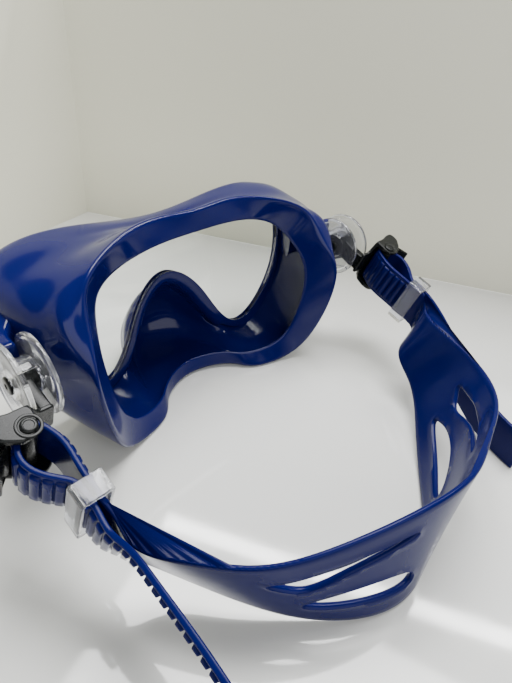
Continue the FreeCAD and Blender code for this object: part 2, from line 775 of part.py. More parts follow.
def band_length(station):
    """The strap length at a station of the head band, 0 at the left keeper's exit."""
    whole = min(int(station), BAND_STATIONS - 1)
    share = station - whole
    start, end = LENGTHS[FIRST_BAND + whole], LENGTHS[FIRST_BAND + whole + 1]
    return start + (end - start) * share


def slot_cutter(outline, mirror):
    """A prism through the band with a slot's outline."""
    points = []
    outs = []
    for station, share in outline:
        if mirror:
            station = BAND_STATIONS - station
        low, up, out = strap_at(band_length(station))
        points.append(low + (up - low) * share)
        outs.append(out)
    out = sum(outs[1:], outs[0]).normalize()
    centre = sum(points[1:], points[0]) * (1.0 / len(points))
    flat = [p - out * (p - centre).dot(out) - out * 8 for p in points]
    return Part.Face(Part.makePolygon(flat + flat[:1])).extrude(out * 16)


strap_solid = strap_shape()
name_part(feature("Strap", strap_solid), "strap")

# ---------------------------------------------------------------- the keepers
keeper_outer = sized(
    "Box",
    "KeeperOuter",
    {
        "Length": "Sizes.keeper_gap_x + 2 * Sizes.keeper_wall",
        "Width": "Sizes.keeper_length",
        "Height": "Sizes.keeper_gap_z + 2 * Sizes.keeper_wall",
    },
    (
        "-Sizes.keeper_gap_x / 2 - Sizes.keeper_wall",
        "-Sizes.keeper_length / 2",
        "-Sizes.keeper_gap_z / 2 - Sizes.keeper_wall",
    ),
)
keeper_inner = sized(
    "Box",
    "KeeperInner",
    {
        "Length": "Sizes.keeper_gap_x",
        "Width": "Sizes.keeper_length + 4",
        "Height": "Sizes.keeper_gap_z",
    },
    ("-Sizes.keeper_gap_x / 2", "-Sizes.keeper_length / 2 - 2", "-Sizes.keeper_gap_z / 2"),
)
keeper_cut = boolean("Cut", "KeeperCut", keeper_outer, keeper_inner)
doc.recompute()
keeper = doc.addObject("Part::Feature", "LeftKeeper")
keeper.Shape = keeper_cut.Shape
keeper_place = Vector(size("keeper_x"), size("keeper_y"), size("keeper_z"))
keeper.Placement = Placement(keeper_place + SHIFT, Rotation(AXIS_X, -size("keeper_lean")))
name_part(keeper, "left_keeper")

# ---------------------------------------------------------------- the right side
doc.recompute()
for left in [thing for thing in sub_parts if thing.Label.startswith("left_")]:
    label = left.Label.replace("left_", "right_")
    mirror = doc.addObject("Part::Mirroring", label.title().replace("_", ""))
    mirror.Source = left
    mirror.Normal = AXIS_X
    mirror.Base = Vector()
    name_part(mirror, label)

doc.recompute()
for thing in doc.Objects:
    if "Invalid" in thing.State or "Error" in thing.State:
        raise RuntimeError("%s failed to recompute" % thing.Label)
whole_box = FreeCAD.BoundBox()
for thing in sub_parts:
    shape = thing.Shape
    if shape.isNull() or not shape.isValid():
        raise RuntimeError("%s has no valid shape" % thing.Label)
    print("%-24s %2d solid %10.1f mm3" % (thing.Label, len(shape.Solids), shape.Volume))
    whole_box.add(shape.BoundBox)
    shape.exportStep("parts/%s.step" % thing.Label)
print("box", whole_box)
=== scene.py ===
import json
import math

import bmesh
import bpy
import numpy as np
from mathutils import Matrix, Vector
from mathutils.geometry import delaunay_2d_cdt


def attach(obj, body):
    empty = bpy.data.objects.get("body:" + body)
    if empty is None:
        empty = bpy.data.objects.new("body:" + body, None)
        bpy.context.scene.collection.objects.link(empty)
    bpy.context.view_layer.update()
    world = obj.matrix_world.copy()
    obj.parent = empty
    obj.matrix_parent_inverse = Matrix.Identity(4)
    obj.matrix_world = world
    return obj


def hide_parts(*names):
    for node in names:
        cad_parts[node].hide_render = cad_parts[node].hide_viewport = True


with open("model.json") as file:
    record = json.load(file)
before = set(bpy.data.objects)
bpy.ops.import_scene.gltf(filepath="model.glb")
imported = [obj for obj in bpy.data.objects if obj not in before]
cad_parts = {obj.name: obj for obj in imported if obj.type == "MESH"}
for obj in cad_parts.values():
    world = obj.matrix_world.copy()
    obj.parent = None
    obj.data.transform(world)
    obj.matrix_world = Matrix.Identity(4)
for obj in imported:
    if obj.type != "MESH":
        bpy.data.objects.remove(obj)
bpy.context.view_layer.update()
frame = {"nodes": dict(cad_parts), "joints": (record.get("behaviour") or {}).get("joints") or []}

# A single-lens diving mask and its head strap, seen from behind.
# Shapes are drawn in millimetres, with Y = 0 near the nose, and to_row() brings them to the
# row's frame in metres. The left buckle is drawn, and the right one is its mirror image.

MM = 0.001
JOINTS = {joint["name"]: joint for joint in frame["joints"]}


def joint_place(name):
    """A joint's place in the row frame, in millimetres."""
    return np.array(JOINTS[name]["pos_m"]) / MM


POD = joint_place("left_swivel")
AXLE = joint_place("left_roller_spin")
LEVER_PIN = joint_place("left_lever_lift")
DRAWN_POD_Y = 42.6
SHIFT = np.array([0.0, POD[1] - DRAWN_POD_Y, 0.0])
AXLE_AXIS = np.array(JOINTS["left_roller_spin"]["axis"])
DROP = math.atan2(AXLE_AXIS[1], AXLE_AXIS[2])


def to_row(points):
    """Drawing points in millimetres to the row's frame in metres."""
    return (np.asarray(points, float) + SHIFT) * MM


def hang(points, side=1):
    """Buckle points (across, along the arm, up), level about the pod's axis, to the row."""
    points = np.asarray(points, float)
    along, up = points[..., 1], points[..., 2]
    out = np.empty_like(points)
    out[..., 0] = side * points[..., 0]
    out[..., 1] = POD[1] + along * math.cos(DROP) + up * math.sin(DROP)
    out[..., 2] = POD[2] - along * math.sin(DROP) + up * math.cos(DROP)
    return out * MM


def to_buckle(point):
    """A row point in millimetres to (across, along the arm, up) about the pod's axis."""
    back, up = point[1] - POD[1], point[2] - POD[2]
    along = back * math.cos(DROP) - up * math.sin(DROP)
    return np.array([point[0], along, back * math.sin(DROP) + up * math.cos(DROP)])


# ---------------------------------------------------------------- camera, floor and lights
CAMERA_AT = (139.5, 187.2, 177.3)
CAMERA_TARGET = (-14.84, 54.47, 32.24)
CAMERA_ROLL = math.radians(5.65)
LENS_MM = 27.04
SENSOR_MM = 36.0
NEAREST = 0.01

# The lamps, in metres in the row's frame: place, what it points at, size and watts.
CEILING_LAMP = ((-0.3, -0.15, 1.25), (0, -0.05, 0), (0.9, 0.5), 28)
WALL_LAMP = ((0.6, 1.6, 1.1), (-0.1, -0.3, 0.1), (2.4, 1.6), 30)
TUBE_AT = (-0.717, -0.091, 1.2)
TUBE_SIZE = (1.3, 0.05)
TUBE_WATTS = 12
TUBE_TURN = math.radians(116)
SKY_COLOUR = (0.96, 0.97, 1.0, 1)
SKY_STRENGTH = 0.22

STAGE_REACH = 1.5
WALL_HEIGHT = 0.24
FLOOR_Z = -0.0002
WALL_CORNER = (-74.0, -201.0, 0.0)
WALL_HEADINGS = (math.radians(-28.2), math.radians(72.8))  # from straight back, towards +X


def aim(at, target, roll=0.0):
    """A matrix at a place, whose -Z axis points at target, turned by roll about that axis."""
    at, target = Vector(at), Vector(target)
    turn = (target - at).to_track_quat("-Z", "Y").to_matrix().to_4x4()
    return Matrix.Translation(at) @ turn @ Matrix.Rotation(roll, 4, "Z")


def add_camera():
    data = bpy.data.cameras.new("camera")
    data.sensor_fit = "VERTICAL"
    data.sensor_height = SENSOR_MM
    data.lens = LENS_MM
    data.clip_start = NEAREST
    camera = bpy.data.objects.new("camera", data)
    bpy.context.scene.collection.objects.link(camera)
    camera.matrix_world = aim(to_row(CAMERA_AT), to_row(CAMERA_TARGET), CAMERA_ROLL)
    bpy.context.scene.camera = camera


def add_area(name, at, target, size, watts):
    data = bpy.data.lights.new(name, "AREA")
    data.shape = "RECTANGLE"
    data.size, data.size_y = size
    data.energy = watts
    light = bpy.data.objects.new(name, data)
    bpy.context.scene.collection.objects.link(light)
    light.matrix_world = aim(at, target)
    return light


def add_stage(floor_finish, wall_finish):
    """A pale glossy floor in the corner of two pale walls, which can't be seen from behind."""
    signs = ((-1, -1), (1, -1), (1, 1), (-1, 1))
    corners = [(x * STAGE_REACH, y * STAGE_REACH, FLOOR_Z) for x, y in signs]
    floor = make_object("floor", corners, [(0, 1, 2, 3)], floor_finish)
    corner = to_row(WALL_CORNER)
    for number, heading in enumerate(WALL_HEADINGS):
        along = np.array([math.sin(heading), math.cos(heading), 0]) * STAGE_REACH
        up = np.array([0, 0, WALL_HEIGHT])
        points = [corner, corner + along, corner + along + up, corner + up]
        wall = make_object("wall_%d" % number, points, [(0, 1, 2, 3)], wall_finish, recalculate=False)
        inwards = to_row((0, 60, 0)) - corner
        if wall.data.polygons[0].normal.dot(Vector(inwards)) < 0:
            wall.data.flip_normals()


def add_lights():
    world = bpy.data.worlds.new("studio")
    world.use_nodes = True
    background = world.node_tree.nodes["Background"]
    background.inputs["Color"].default_value = SKY_COLOUR
    background.inputs["Strength"].default_value = SKY_STRENGTH
    bpy.context.scene.world = world
    add_area("ceiling", *CEILING_LAMP)
    add_area("wall_wash", *WALL_LAMP)
    tube = add_area("tube", (0, 0, 1), (0, 0, 0), TUBE_SIZE, TUBE_WATTS)
    tube.matrix_world = Matrix.Translation(TUBE_AT) @ Matrix.Rotation(TUBE_TURN, 4, "Z")


# ---------------------------------------------------------------- geometry helpers
def make_object(name, points, faces, finish, sharp=40, recalculate=True):
    """An object from points in metres, with smooth faces and its normals facing outwards."""
    mesh = bpy.data.meshes.new(name)
    mesh.from_pydata([tuple(map(float, p)) for p in points], [], faces)
    shape = bmesh.new()
    shape.from_mesh(mesh)
    bmesh.ops.remove_doubles(shape, verts=shape.verts, dist=1e-7)
    if recalculate:
        bmesh.ops.recalc_face_normals(shape, faces=shape.faces)
    shape.to_mesh(mesh)
    shape.free()
    mesh.shade_smooth()
    mesh.set_sharp_from_angle(angle=math.radians(sharp))
    mesh.materials.append(finish)
    thing = bpy.data.objects.new(name, mesh)
    bpy.context.scene.collection.objects.link(thing)
    return thing


def merge(name, things):
    """One object from several, with the finish of the first."""
    mesh = bpy.data.meshes.new(name)
    shape = bmesh.new()
    for thing in things:
        shape.from_mesh(thing.data)
    shape.to_mesh(mesh)
    shape.free()
    mesh.materials.append(things[0].data.materials[0])
    merged = bpy.data.objects.new(name, mesh)
    bpy.context.scene.collection.objects.link(merged)
    for thing in things:
        bpy.data.objects.remove(thing)
    return merged


def spline(params, points, period=None):
    """A smooth curve that passes points at params, as a function of the parameter."""
    t, p = np.asarray(params, float), np.asarray(points, float)
    if period:
        t = np.concatenate([t - period, t, t + period])
        p = np.concatenate([p, p, p])
    step = np.diff(t)
    slope = np.diff(p, axis=0) / step[:, None]
    system, right = np.eye(len(t)), np.zeros_like(p)
    for i in range(1, len(t) - 1):
        system[i, i - 1 : i + 2] = step[i - 1], 2 * (step[i - 1] + step[i]), step[i]
        right[i] = 6 * (slope[i] - slope[i - 1])
    bend = np.linalg.solve(system, right)

    def value(at):
        at = np.atleast_1d(np.asarray(at, float))
        i = np.clip(np.searchsorted(t, at, side="right") - 1, 0, len(t) - 2)
        h = step[i][:, None]
        a = (t[i + 1] - at)[:, None] / h
        b = 1 - a
        curve = ((a**3 - a) * bend[i] + (b**3 - b) * bend[i + 1]) * h * h / 6
        return a * p[i] + b * p[i + 1] + curve

    return value


def grid_faces(rows, columns, close_rows, close_columns):
    """Quads of a grid of points stored row by row."""
    faces = []
    for i in range(rows if close_rows else rows - 1):
        for j in range(columns if close_columns else columns - 1):
            k, m = (i + 1) % rows, (j + 1) % columns
            faces.append((i * columns + j, i * columns + m, k * columns + m, k * columns + j))
    return faces


def unit(vectors):
    return vectors / np.maximum(np.linalg.norm(vectors, axis=-1, keepdims=True), 1e-12)


def rounded(outline, radii, steps=6):
    """A closed flat outline with its corners rounded by radii."""
    corners = [np.array(p, float) for p in outline]
    if not hasattr(radii, "__len__"):
        radii = [radii] * len(corners)
    points = []
    for i, (corner, radius) in enumerate(zip(corners, radii)):
        before, after = corners[i - 1] - corner, corners[(i + 1) % len(corners)] - corner
        reach_before, reach_after = np.linalg.norm(before), np.linalg.norm(after)
        cosine = before @ after / (reach_before * reach_after)
        half = math.acos(max(-1.0, min(1.0, cosine))) / 2
        cut = min(radius / math.tan(half), 0.48 * reach_before, 0.48 * reach_after)
        start, end = corner + before * cut / reach_before, corner + after * cut / reach_after
        for k in range(steps + 1):
            s = k / steps
            points.append((1 - s) ** 2 * start + 2 * s * (1 - s) * corner + s * s * end)
    return np.array(points)


def circle(radius, steps=40, centre=(0, 0)):
    turn = np.linspace(0, 2 * math.pi, steps, endpoint=False)
    return np.c_[centre[0] + radius * np.cos(turn), centre[1] + radius * np.sin(turn)]


def inset(outline, amount):
    """A flat closed outline moved inwards by amount."""
    ahead, behind = np.roll(outline, -1, axis=0), np.roll(outline, 1, axis=0)
    along = unit(ahead - behind)
    area = np.sum(outline[:, 0] * ahead[:, 1] - ahead[:, 0] * outline[:, 1])
    inwards = np.c_[-along[:, 1], along[:, 0]] * (1 if area > 0 else -1)
    return outline + inwards * amount


def slab(name, outline, low, high, place, finish, edge=0.5, steps=4, hole=None):
    """A flat outline made into a solid from low to high, with rounded edges.

    place turns rows of (outline x, outline y, height) into points in metres.
    """
    turn = np.linspace(0, math.pi / 2, steps + 1)
    profile = [(edge * (1 - math.sin(a)), low + edge * (1 - math.cos(a))) for a in turn]
    profile += [(edge * (1 - math.cos(a)), high - edge * (1 - math.sin(a))) for a in turn]
    if hole is None:
        shrink = [(edge + 0.35, low)] + profile + [(edge + 0.35, high)]
        rings = [np.c_[inset(outline, d), np.full(len(outline), h)] for d, h in shrink]
        count = len(outline)
        faces = grid_faces(len(rings), count, False, True)
        last = (len(rings) - 1) * count
        faces += [tuple(range(count))[::-1], tuple(range(last, last + count))]
        return make_object(name, place(np.concatenate(rings)), faces, finish)
    outer = [np.c_[inset(outline, d), np.full(len(outline), h)] for d, h in profile]
    inner = [np.c_[inset(hole, -d), np.full(len(hole), h)] for d, h in profile[::-1]]
    rings = outer + inner
    faces = grid_faces(len(rings), len(outline), True, True)
    return make_object(name, place(np.concatenate(rings)), faces, finish)


def turned(name, profile, place, finish, steps=64, closed=True, arc=None):
    """A profile of (along, radius) turned about an axis. place takes (along, u, v) rows."""
    start, end = arc or (0.0, 2 * math.pi)
    angles = np.linspace(start, end, steps, endpoint=arc is not None)
    rings = [[(a, r * math.cos(t), r * math.sin(t)) for a, r in profile] for t in angles]
    count = len(profile)
    faces = grid_faces(len(rings), count, arc is None, closed)
    if arc:
        last = (len(rings) - 1) * count
        faces += [tuple(range(count)), tuple(range(last, last + count))[::-1]]
    return make_object(name, place(np.array(rings).reshape(-1, 3)), faces, finish)


def bevelled_rod(low, high, radius, edge=0.3, hole=0.0):
    """The profile of a rod or tube with rounded ends, as (along, radius)."""
    turn = [0, 0.4, 0.8, 1.2, math.pi / 2]
    profile = [(low + edge * (1 - math.sin(a)), radius - edge * (1 - math.cos(a))) for a in turn[::-1]]
    profile += [(high - edge * (1 - math.sin(a)), radius - edge * (1 - math.cos(a))) for a in turn]
    inner = max(hole, 0.02)
    return [(low, inner)] + profile + [(high, inner)]


# ---------------------------------------------------------------- finishes
def finish(name, colour, other, roughness, grain, bump, **sockets):
    """A procedural finish: two close colours, and roughness and bump from fine noise.

    grain is (size of the patches, size of the fine texture) in metres.
    """
    material = bpy.data.materials.new(name)
    material.use_nodes = True
    nodes, links = material.node_tree.nodes, material.node_tree.links
    shader = nodes["Principled BSDF"]
    where = nodes.new("ShaderNodeTexCoord")
    patches, fine = nodes.new("ShaderNodeTexNoise"), nodes.new("ShaderNodeTexNoise")
    patches.inputs["Scale"].default_value = 1 / grain[0]
    patches.inputs["Detail"].default_value = 4
    fine.inputs["Scale"].default_value = 1 / grain[1]
    fine.inputs["Detail"].default_value = 3
    for noise in (patches, fine):
        links.new(where.outputs["Object"], noise.inputs["Vector"])
    mix = nodes.new("ShaderNodeMix")
    mix.data_type = "RGBA"
    mix.inputs["A"].default_value = (*colour, 1)
    mix.inputs["B"].default_value = (*other, 1)
    links.new(patches.outputs["Fac"], mix.inputs["Factor"])
    links.new(mix.outputs["Result"], shader.inputs["Base Color"])
    spread = nodes.new("ShaderNodeMapRange")
    spread.inputs["From Min"].default_value = 0.3
    spread.inputs["From Max"].default_value = 0.7
    spread.inputs["To Min"].default_value = roughness[0]
    spread.inputs["To Max"].default_value = roughness[1]
    links.new(fine.outputs["Fac"], spread.inputs["Value"])
    links.new(spread.outputs["Result"], shader.inputs["Roughness"])
    relief = nodes.new("ShaderNodeBump")
    relief.inputs["Strength"].default_value = bump[0]
    relief.inputs["Distance"].default_value = bump[1]
    links.new(fine.outputs["Fac"], relief.inputs["Height"])
    links.new(relief.outputs["Normal"], shader.inputs["Normal"])
    for socket, value in sockets.items():
        shader.inputs[socket.replace("_", " ")].default_value = value
    return material


SILICONE = finish(
    "blue_silicone", (0.0014, 0.0030, 0.068), (0.0020, 0.0042, 0.084), (0.11, 0.15), (0.03, 0.0012),
    (0.04, 0.0001), Specular_IOR_Level=0.24,
)
STRAP_BLUE = finish(
    "strap_silicone", (0.0014, 0.0034, 0.066), (0.0020, 0.0044, 0.078), (0.18, 0.22), (0.02, 0.003),
    (0.01, 0.00005), Specular_IOR_Level=0.1,
)
BLACK = finish(
    "black_plastic", (0.004, 0.005, 0.005), (0.007, 0.008, 0.008), (0.22, 0.32), (0.008, 0.0004),
    (0.06, 0.0001), Specular_IOR_Level=0.2,
)
CLEAR = finish(
    "clear_plastic", (0.90, 0.91, 0.96), (0.93, 0.94, 0.98), (0.05, 0.12), (0.01, 0.003),
    (0.02, 0.00005), Transmission_Weight=0.96, IOR=1.42,
)
GLASS = finish(
    "tempered_glass", (0.95, 0.985, 0.975), (0.97, 0.99, 0.985), (0.0, 0.015), (0.05, 0.004),
    (0.01, 0.00005), Transmission_Weight=1.0, IOR=1.5,
)
FRAME_BLUE = finish(
    "frame_plastic", (0.003, 0.007, 0.060), (0.004, 0.010, 0.080), (0.25, 0.35), (0.02, 0.0006),
    (0.1, 0.0002),
)
STEEL = finish(
    "steel", (0.45, 0.45, 0.46), (0.60, 0.60, 0.62), (0.22, 0.38), (0.004, 0.0003),
    (0.1, 0.0001), Metallic=1.0,
)
FLOOR = finish(
    "pale_floor", (0.70, 0.705, 0.68), (0.72, 0.725, 0.70), (0.05, 0.08), (0.3, 0.01), (0.01, 0.0001),
)
WALL = finish(
    "pale_wall", (0.79, 0.78, 0.65), (0.81, 0.80, 0.67), (0.5, 0.6), (0.3, 0.01), (0.02, 0.0002),
)


def see_through_from_behind(material):
    """The material is clear where it is seen from behind."""
    nodes, links = material.node_tree.nodes, material.node_tree.links
    output = nodes["Material Output"]
    front = output.inputs["Surface"].links[0].from_socket
    facing = nodes.new("ShaderNodeNewGeometry")
    clear = nodes.new("ShaderNodeBsdfTransparent")
    mix = nodes.new("ShaderNodeMixShader")
    links.new(facing.outputs["Backfacing"], mix.inputs["Fac"])
    links.new(front, mix.inputs[1])
    links.new(clear.outputs[0], mix.inputs[2])
    links.new(mix.outputs[0], output.inputs["Surface"])


see_through_from_behind(WALL)

# ---------------------------------------------------------------- the skirt
# Every closed line round the mask passes the same stations, from the middle of the brow (0)
# past the temple (5) and the cheek (7) to the middle of the nose (11).

LAST_STATION = 11
AROUND = 352
LENS_LEAN = math.radians(12.94)
LENS_FOOT = np.array([0.0, 15.48, 0.0])
LENS_BACK = np.array([0.0, math.cos(LENS_LEAN), math.sin(LENS_LEAN)])
LENS_UP = np.array([0.0, -math.sin(LENS_LEAN), math.cos(LENS_LEAN)])
LENS_THICK = 4.0
FRAME_WIDTH = 2.3
SKIRT_THICK = 2.2
EDGE_TURN = 2.4  # from the rim's corner to where its rounding starts
LIP_THICK = 1.2
SEAT_FOOT, SEAT_NOSE, SEAT_BACK = 1.3, 5.2, 1.6  # the inside wall's foot behind the glass

# The edge of the glass in its own plane: across, and up from the floor.
GLASS_EDGE = [(0, 79.0), (20, 80.3), (41, 82.8), (62, 82.8), (78, 76.5), (84.5, 61.0),
              (78.5, 35.5), (58, 14.6), (39.5, 12.2), (27, 25.5), (16.5, 42.5), (0, 53.4)]

# The bead in front of the glass: outwards from the glass's edge, and forward of its face.
FRONT_BEAD = [(-1.5, 0.05), (-1.5, 0.75), (-1.25, 1.03), (-0.7, 1.13), (0.4, 1.15), (0.8, 0.9),
              (1.3, 0.85), (1.8, 1.12), (2.8, 1.1), (3.6, 0.95), (4.15, 0.65), (4.35, 0.2)]

# The outside of the skirt from just behind the glass to the rim, at nine stations.
SKIRT_STATIONS = [0, 2, 3, 5, 6, 7, 8, 10, 11]
RIM_STATIONS = [0, 2, 3, 4, 5, 6, 7, 8, 10, 11]
SKIRT_OUTSIDE = [
    [(0, -1, 81.2), (41, -1.5, 84.2), (68.5, -3, 83.6), (87.8, 4, 60), (82, 9, 32.5),
     (59, 15, 9.8), (39, 13, 6.5), (17, -5.5, 33), (0, -7, 44)],
    [(0, 3.5, 81.0), (41, 3.5, 84.2), (69.3, 4, 83.2), (86.5, 13, 59.6), (81, 18, 31.5),
     (59, 21, 9.2), (39, 17, 5.6), (17.5, -11, 25.5), (0, -16, 33)],
    [(0, 8, 82.0), (40.5, 8.5, 84.6), (69, 12, 82.3), (84.5, 23, 59), (79, 27, 30.5),
     (58.5, 28, 8.4), (38.5, 22, 4.6), (18.3, -14, 16.5), (0, -21.25, 20)],
    [(0, 13, 84.8), (40, 14, 85.6), (67.5, 20, 82.3), (81.5, 33, 58), (76, 36, 29.5),
     (57.8, 35, 7.2), (38, 28, 3.4), (18.6, -9.5, 7.5), (0, -19.5, 8)],
    [(0, 18, 88.5), (39, 19.5, 88.4), (65, 28, 83), (77.5, 43, 56.5), (72.5, 45, 28.5),
     (56.8, 41.5, 5.8), (37, 34.5, 1.8), (18.6, 0, 1.8), (0, -10, 1.2)],
    [(0, 22, 91.8), (38, 24, 91), (62.8, 34, 84), (73.8, 51.5, 55), (69, 52, 27),
     (55.8, 46.5, 5.0), (36, 40, 0.7), (18.5, 14, 1.0), (0, 8, 0.6)],
]
RIM = [(0, 24.9, 93.4), (37.4, 27.5, 92.6), (60.9, 38.5, 84.3), (66.8, 48.1, 69.4),
       (71.4, 58.1, 54.0), (66.6, 57.2, 26.0), (55, 50.4, 4.4), (35.3, 44.3, 0.3),
       (18.4, 30.6, 1.4), (0, 24.5, 0.8)]
FACE_LIP = [(0, 27, 83.8), (34, 28, 81.5), (50.8, 29.5, 74.2), (58.4, 37, 64), (61, 44, 51),
            (57.8, 46, 31), (48.5, 44, 13.5), (33, 38.5, 8.5), (16, 27, 8.6), (0, 22, 8.2)]


def all_round(stations, points):
    """Points evenly spread round a closed line that is symmetric about X = 0."""
    points = np.array(points, float)
    inner = [i for i, s in enumerate(stations) if 0 < s < LAST_STATION][::-1]
    params = list(stations) + [2 * LAST_STATION - stations[i] for i in inner]
    whole = np.concatenate([points, points[inner] * (-1, 1, 1)])
    period = 2.0 * LAST_STATION
    return spline(params, whole, period)(np.arange(AROUND) * period / AROUND)


def station_of(index):
    station = index * 2.0 * LAST_STATION / AROUND
    return np.minimum(station, 2 * LAST_STATION - station)


STATION = station_of(np.arange(AROUND))
GLASS_LOOP = all_round(
    range(LAST_STATION + 1),
    [LENS_FOOT + np.array([x, 0, 0]) + LENS_UP * up for x, up in GLASS_EDGE],
)


def lens_ring(offset, back):
    """The glass's edge moved outwards in its plane, and back from its rear face."""
    along = np.roll(GLASS_LOOP, -1, axis=0) - np.roll(GLASS_LOOP, 1, axis=0)
    outwards = unit(np.cross(along, LENS_BACK))
    offset = np.broadcast_to(np.asarray(offset, float), (AROUND,))
    return GLASS_LOOP + outwards * offset[:, None] + LENS_BACK * back


def inside_of(ring, before, after, thick):
    """The ring moved from the outside of the skirt towards its inside."""
    round_the_face = np.roll(ring, -1, axis=0) - np.roll(ring, 1, axis=0)
    return ring - unit(np.cross(round_the_face, after - before)) * thick


def smooth_rows(rings, count):
    """count rings on smooth curves across the given rings, evenly spread by distance."""
    stack = np.array(rings)
    gaps = np.linalg.norm(np.diff(stack, axis=0), axis=2).mean(axis=1)
    params = np.concatenate([[0], np.cumsum(gaps)])
    flat = spline(params, stack.reshape(len(rings), -1))
    return list(flat(np.linspace(0, params[-1], count)).reshape(count, -1, 3))


def corner_rows(start, corner, end, count):
    """A rounded corner between two rings, without its ends."""
    shares = np.linspace(0, 1, count + 2)[1:-1]
    return [(1 - s) ** 2 * start + 2 * s * (1 - s) * corner + s * s * end for s in shares]


def straight_rows(start, end, count):
    return [start + (end - start) * s for s in np.linspace(0, 1, count + 2)[1:-1]]


def towards(ring, other, distance):
    return ring + unit(other - ring) * distance


def skirt_rows():
    """The rings of the skirt's whole skin, in a cycle."""
    front = [lens_ring(offset, -LENS_THICK - depth) for offset, depth in FRONT_BEAD]
    outside = [all_round(SKIRT_STATIONS, row) for row in SKIRT_OUTSIDE]
    rim = all_round(RIM_STATIONS, RIM)
    lip = all_round(RIM_STATIONS, FACE_LIP)
    rim_start, rim_end = towards(rim, outside[-1], EDGE_TURN), towards(rim, lip, EDGE_TURN)
    track = [lens_ring(4.4, -LENS_THICK - 1)] + outside + [rim, lip]
    inner = [
        inside_of(track[k], track[k - 1], track[k + 1], SKIRT_THICK)
        for k in range(1, len(outside) + 1)
    ]
    rim_inside = rim + unit(unit(lip - rim) + unit(inner[-1] - rim)) * 1.5 * SKIRT_THICK
    lip_inside = inside_of(lip, rim, 2 * lip - rim, LIP_THICK)
    lip_tip = towards(lip, rim, -0.9) + (lip_inside - lip) * 0.5
    cover = np.clip((STATION - 7.0) / 2.5, 0, 1)
    seat = lens_ring(SEAT_FOOT + SEAT_NOSE * cover, SEAT_BACK)
    rows = front
    rows += smooth_rows([front[-1]] + outside + [rim_start], 46)[1:]
    rows += corner_rows(rim_start, rim, rim_end, 5)
    rows += [rim_end] + straight_rows(rim_end, lip, 8) + [lip]
    rows += corner_rows(lip, lip_tip, lip_inside, 3) + [lip_inside]
    flange_inside = towards(rim_inside, lip_inside, 1.6)
    rows += straight_rows(lip_inside, flange_inside, 7) + [flange_inside]
    wall_inside = towards(rim_inside, inner[-1], 1.6)
    rows += corner_rows(flange_inside, rim_inside, wall_inside, 4)
    rows += smooth_rows([wall_inside] + inner[::-1], 40)
    rows += corner_rows(inner[0], seat, lens_ring(-0.9, SEAT_BACK), 4)
    rows += [lens_ring(-1.35, 1.45), lens_ring(-1.5, 1.1), lens_ring(-1.5, 0.05)]
    rows += [lens_ring(FRAME_WIDTH + 0.1, 0.05), lens_ring(FRAME_WIDTH + 0.1, -LENS_THICK - 0.05)]
    return rows


def lug(side):
    """The strap lug that runs from the side of the skirt in between the pod's plates."""
    sections = [(80.0, 12.5, 9.0, 14.0, 30), (82.6, 15.0, 7.2, 12.4, 32), (85.3, 18.0, 5.4, 11.0, 36),
                (87.7, 21.3, 4.1, 10.0, 48), (89.4, 24.6, 3.5, 9.5, 68), (90.2, 28.0, 3.25, 9.3, 86),
                (90.3, 31.5, 3.2, 9.2, 90), (90.3, 33.4, 3.0, 8.9, 90), (90.3, 34.0, 2.2, 8.0, 90)]
    steps = 48
    turn = np.linspace(0, 2 * math.pi, steps, endpoint=False)
    square = 0.45
    wide = np.sign(np.cos(turn)) * np.abs(np.cos(turn)) ** square
    tall = np.sign(np.sin(turn)) * np.abs(np.sin(turn)) ** square
    path = spline(range(len(sections)), sections)(np.linspace(0, len(sections) - 1, 40))
    rings = []
    for x, y, half_wide, half_tall, heading in path:
        across = np.array([math.sin(math.radians(heading)), -math.cos(math.radians(heading)), 0])
        ring = np.array([x, y, POD[2]]) + np.outer(wide * half_wide, across)
        rings.append(ring + np.outer(tall * half_tall, (0, 0, 1)))
    faces = grid_faces(len(rings), steps, False, True)
    last = (len(rings) - 1) * steps
    faces += [tuple(range(steps)), tuple(range(last, last + steps))[::-1]]
    points = np.concatenate(rings) * (side, 1, 1)
    return make_object("lug", to_row(points), faces, SILICONE, 60)


def build_skirt():
    rows = skirt_rows()
    faces = grid_faces(len(rows), AROUND, True, True)
    points = to_row(np.concatenate(rows))
    wall = make_object("wall_of_skirt", points, faces, SILICONE, 50)
    skirt = merge("skirt_silicone", [wall, lug(1), lug(-1)])
    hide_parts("skirt")
    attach(skirt, "mask")


# ---------------------------------------------------------------- pods
SIDES = (("left", 1), ("right", -1))
INNER_PLATE_X = 84.6
PLATE_THICK = 2.0
PLATE_GAP = 7.4
OUTER_PLATE_X = INNER_PLATE_X + PLATE_THICK + PLATE_GAP
LUG_POST_Y = 32.6
STOP_ARC = (math.radians(59), math.radians(275))


def about_pod(side, along=0.0):
    """Places rows of (x, u, v): u back and v up from the pod's axis, or from the lug's post."""
    middle = np.array([0.0, POD[1] + along, POD[2]])
    return lambda rows: (rows + middle) * (side * MM, MM, MM)


